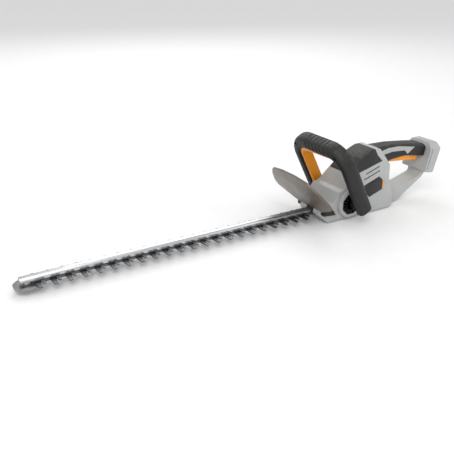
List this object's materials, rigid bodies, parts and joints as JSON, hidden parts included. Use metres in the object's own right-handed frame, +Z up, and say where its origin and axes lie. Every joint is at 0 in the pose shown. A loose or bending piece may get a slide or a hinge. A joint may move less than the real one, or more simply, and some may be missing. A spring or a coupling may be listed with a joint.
{
  "type": "cordless hedge trimmer",
  "caption": "Hedge trimmer with a long double-sided blade, aluminium rail, tilted loop front handle, hand guard, D rear handle with trigger, and a bare battery mount.",
  "frame": {"origin": "on the flat underside of the bottom cover, straight below the axis of the drive gear", "axes": "+X runs back along the tool from the blade to the rear handle, +Y is the operator's right, +Z up"},
  "size_m": [0.9066, 0.174, 0.1687],
  "materials": {
    "shell": "fine satin texture",
    "rubber": "soft matt",
    "black": "satin",
    "orange": "satin gloss",
    "smoke": "smoky translucent",
    "rail": "drawn, anodised",
    "steel": "ground",
    "casting": "die cast",
    "brass": "turned",
    "board": "laminate"
  },
  "bodies": {
    "machine": {"housing_left": "shell", "housing_right": "shell", "motor_cover": "rubber", "badge_left": "black", "badge_right": "black", "badge_accent_left": "orange", "badge_accent_right": "orange", "grip_rubber_left": "rubber", "grip_rubber_right": "rubber", "grip_inlay_left": "shell", "grip_inlay_right": "shell", "body_screw_1": "steel", "body_screw_2": "steel", "body_screw_3": "steel", "body_screw_4": "steel", "handle_seat_left": "black", "handle_seat_right": "black", "front_handle_front": "rubber", "front_handle_rear": "rubber", "handle_screw_1": "steel", "handle_screw_2": "steel", "handle_screw_3": "steel", "handle_screw_4": "steel", "front_switch": "black", "switch_bar_spring": "steel", "hand_guard": "smoke", "guard_seat_left": "black", "guard_seat_right": "black", "guide_rail": "rail", "guide_bolt_1": "steel", "guide_bolt_2": "steel", "guide_bolt_3": "steel", "guide_bolt_4": "steel", "guide_bolt_5": "steel", "tip_plate": "steel", "gear_case": "casting", "bottom_cover": "casting", "bearing_lower": "steel", "bearing_upper": "steel", "motor_can": "steel", "motor_end_cap": "black", "trigger_pin": "steel", "trigger_switch": "black", "trigger_spring": "steel", "terminal_block": "black", "terminal_blade_1": "brass", "terminal_blade_2": "brass", "control_board": "board"},
    "lower_blade": {"blade_lower": "steel"},
    "upper_blade": {"blade_upper": "steel"},
    "gear_and_cams": {"drive_gear": "steel", "gear_shaft": "steel", "cam_lower": "steel", "cam_upper": "steel"},
    "motor_rotor_set": {"motor_rotor": "steel", "pinion": "brass", "motor_fan": "black"},
    "rear_trigger": {"trigger": "orange"},
    "front_switch_bar": {"switch_bar": "orange"}
  },
  "joints": [
    {"name": "motor_spin", "type": "hinge", "parent": "machine", "child": "motor_rotor_set", "pos_m": [0.032, 0, 0.024], "axis": [0, 0, 1], "continuous": true},
    {"name": "gear_spin", "type": "hinge", "parent": "machine", "child": "gear_and_cams", "pos_m": [0, 0, 0.024], "axis": [0, 0, 1], "continuous": true},
    {"name": "lower_blade_slide", "type": "slide", "parent": "machine", "child": "lower_blade", "axis": [1, 0, 0], "range_m": [-0.008, 0.008]},
    {"name": "upper_blade_slide", "type": "slide", "parent": "machine", "child": "upper_blade", "axis": [1, 0, 0], "range_m": [-0.008, 0.008]},
    {"name": "trigger_squeeze", "type": "hinge", "parent": "machine", "child": "rear_trigger", "pos_m": [0.107, 0, 0.1005], "axis": [0, -1, 0], "range_deg": [0, 6], "stiffness_Nm_per_rad": 0.6, "springref_deg": -14.32},
    {"name": "switch_bar_squeeze", "type": "slide", "parent": "machine", "child": "front_switch_bar", "axis": [-0.454, 0, 0.891], "range_m": [0, 0.004], "stiffness_N_per_m": 1500, "springref_m": -0.003}
  ],
  "couplings": [
    {"joint": "motor_spin", "follows": "gear_spin", "ratio": -5.4},
    {"joint": "upper_blade_slide", "follows": "lower_blade_slide", "ratio": -1}
  ]
}
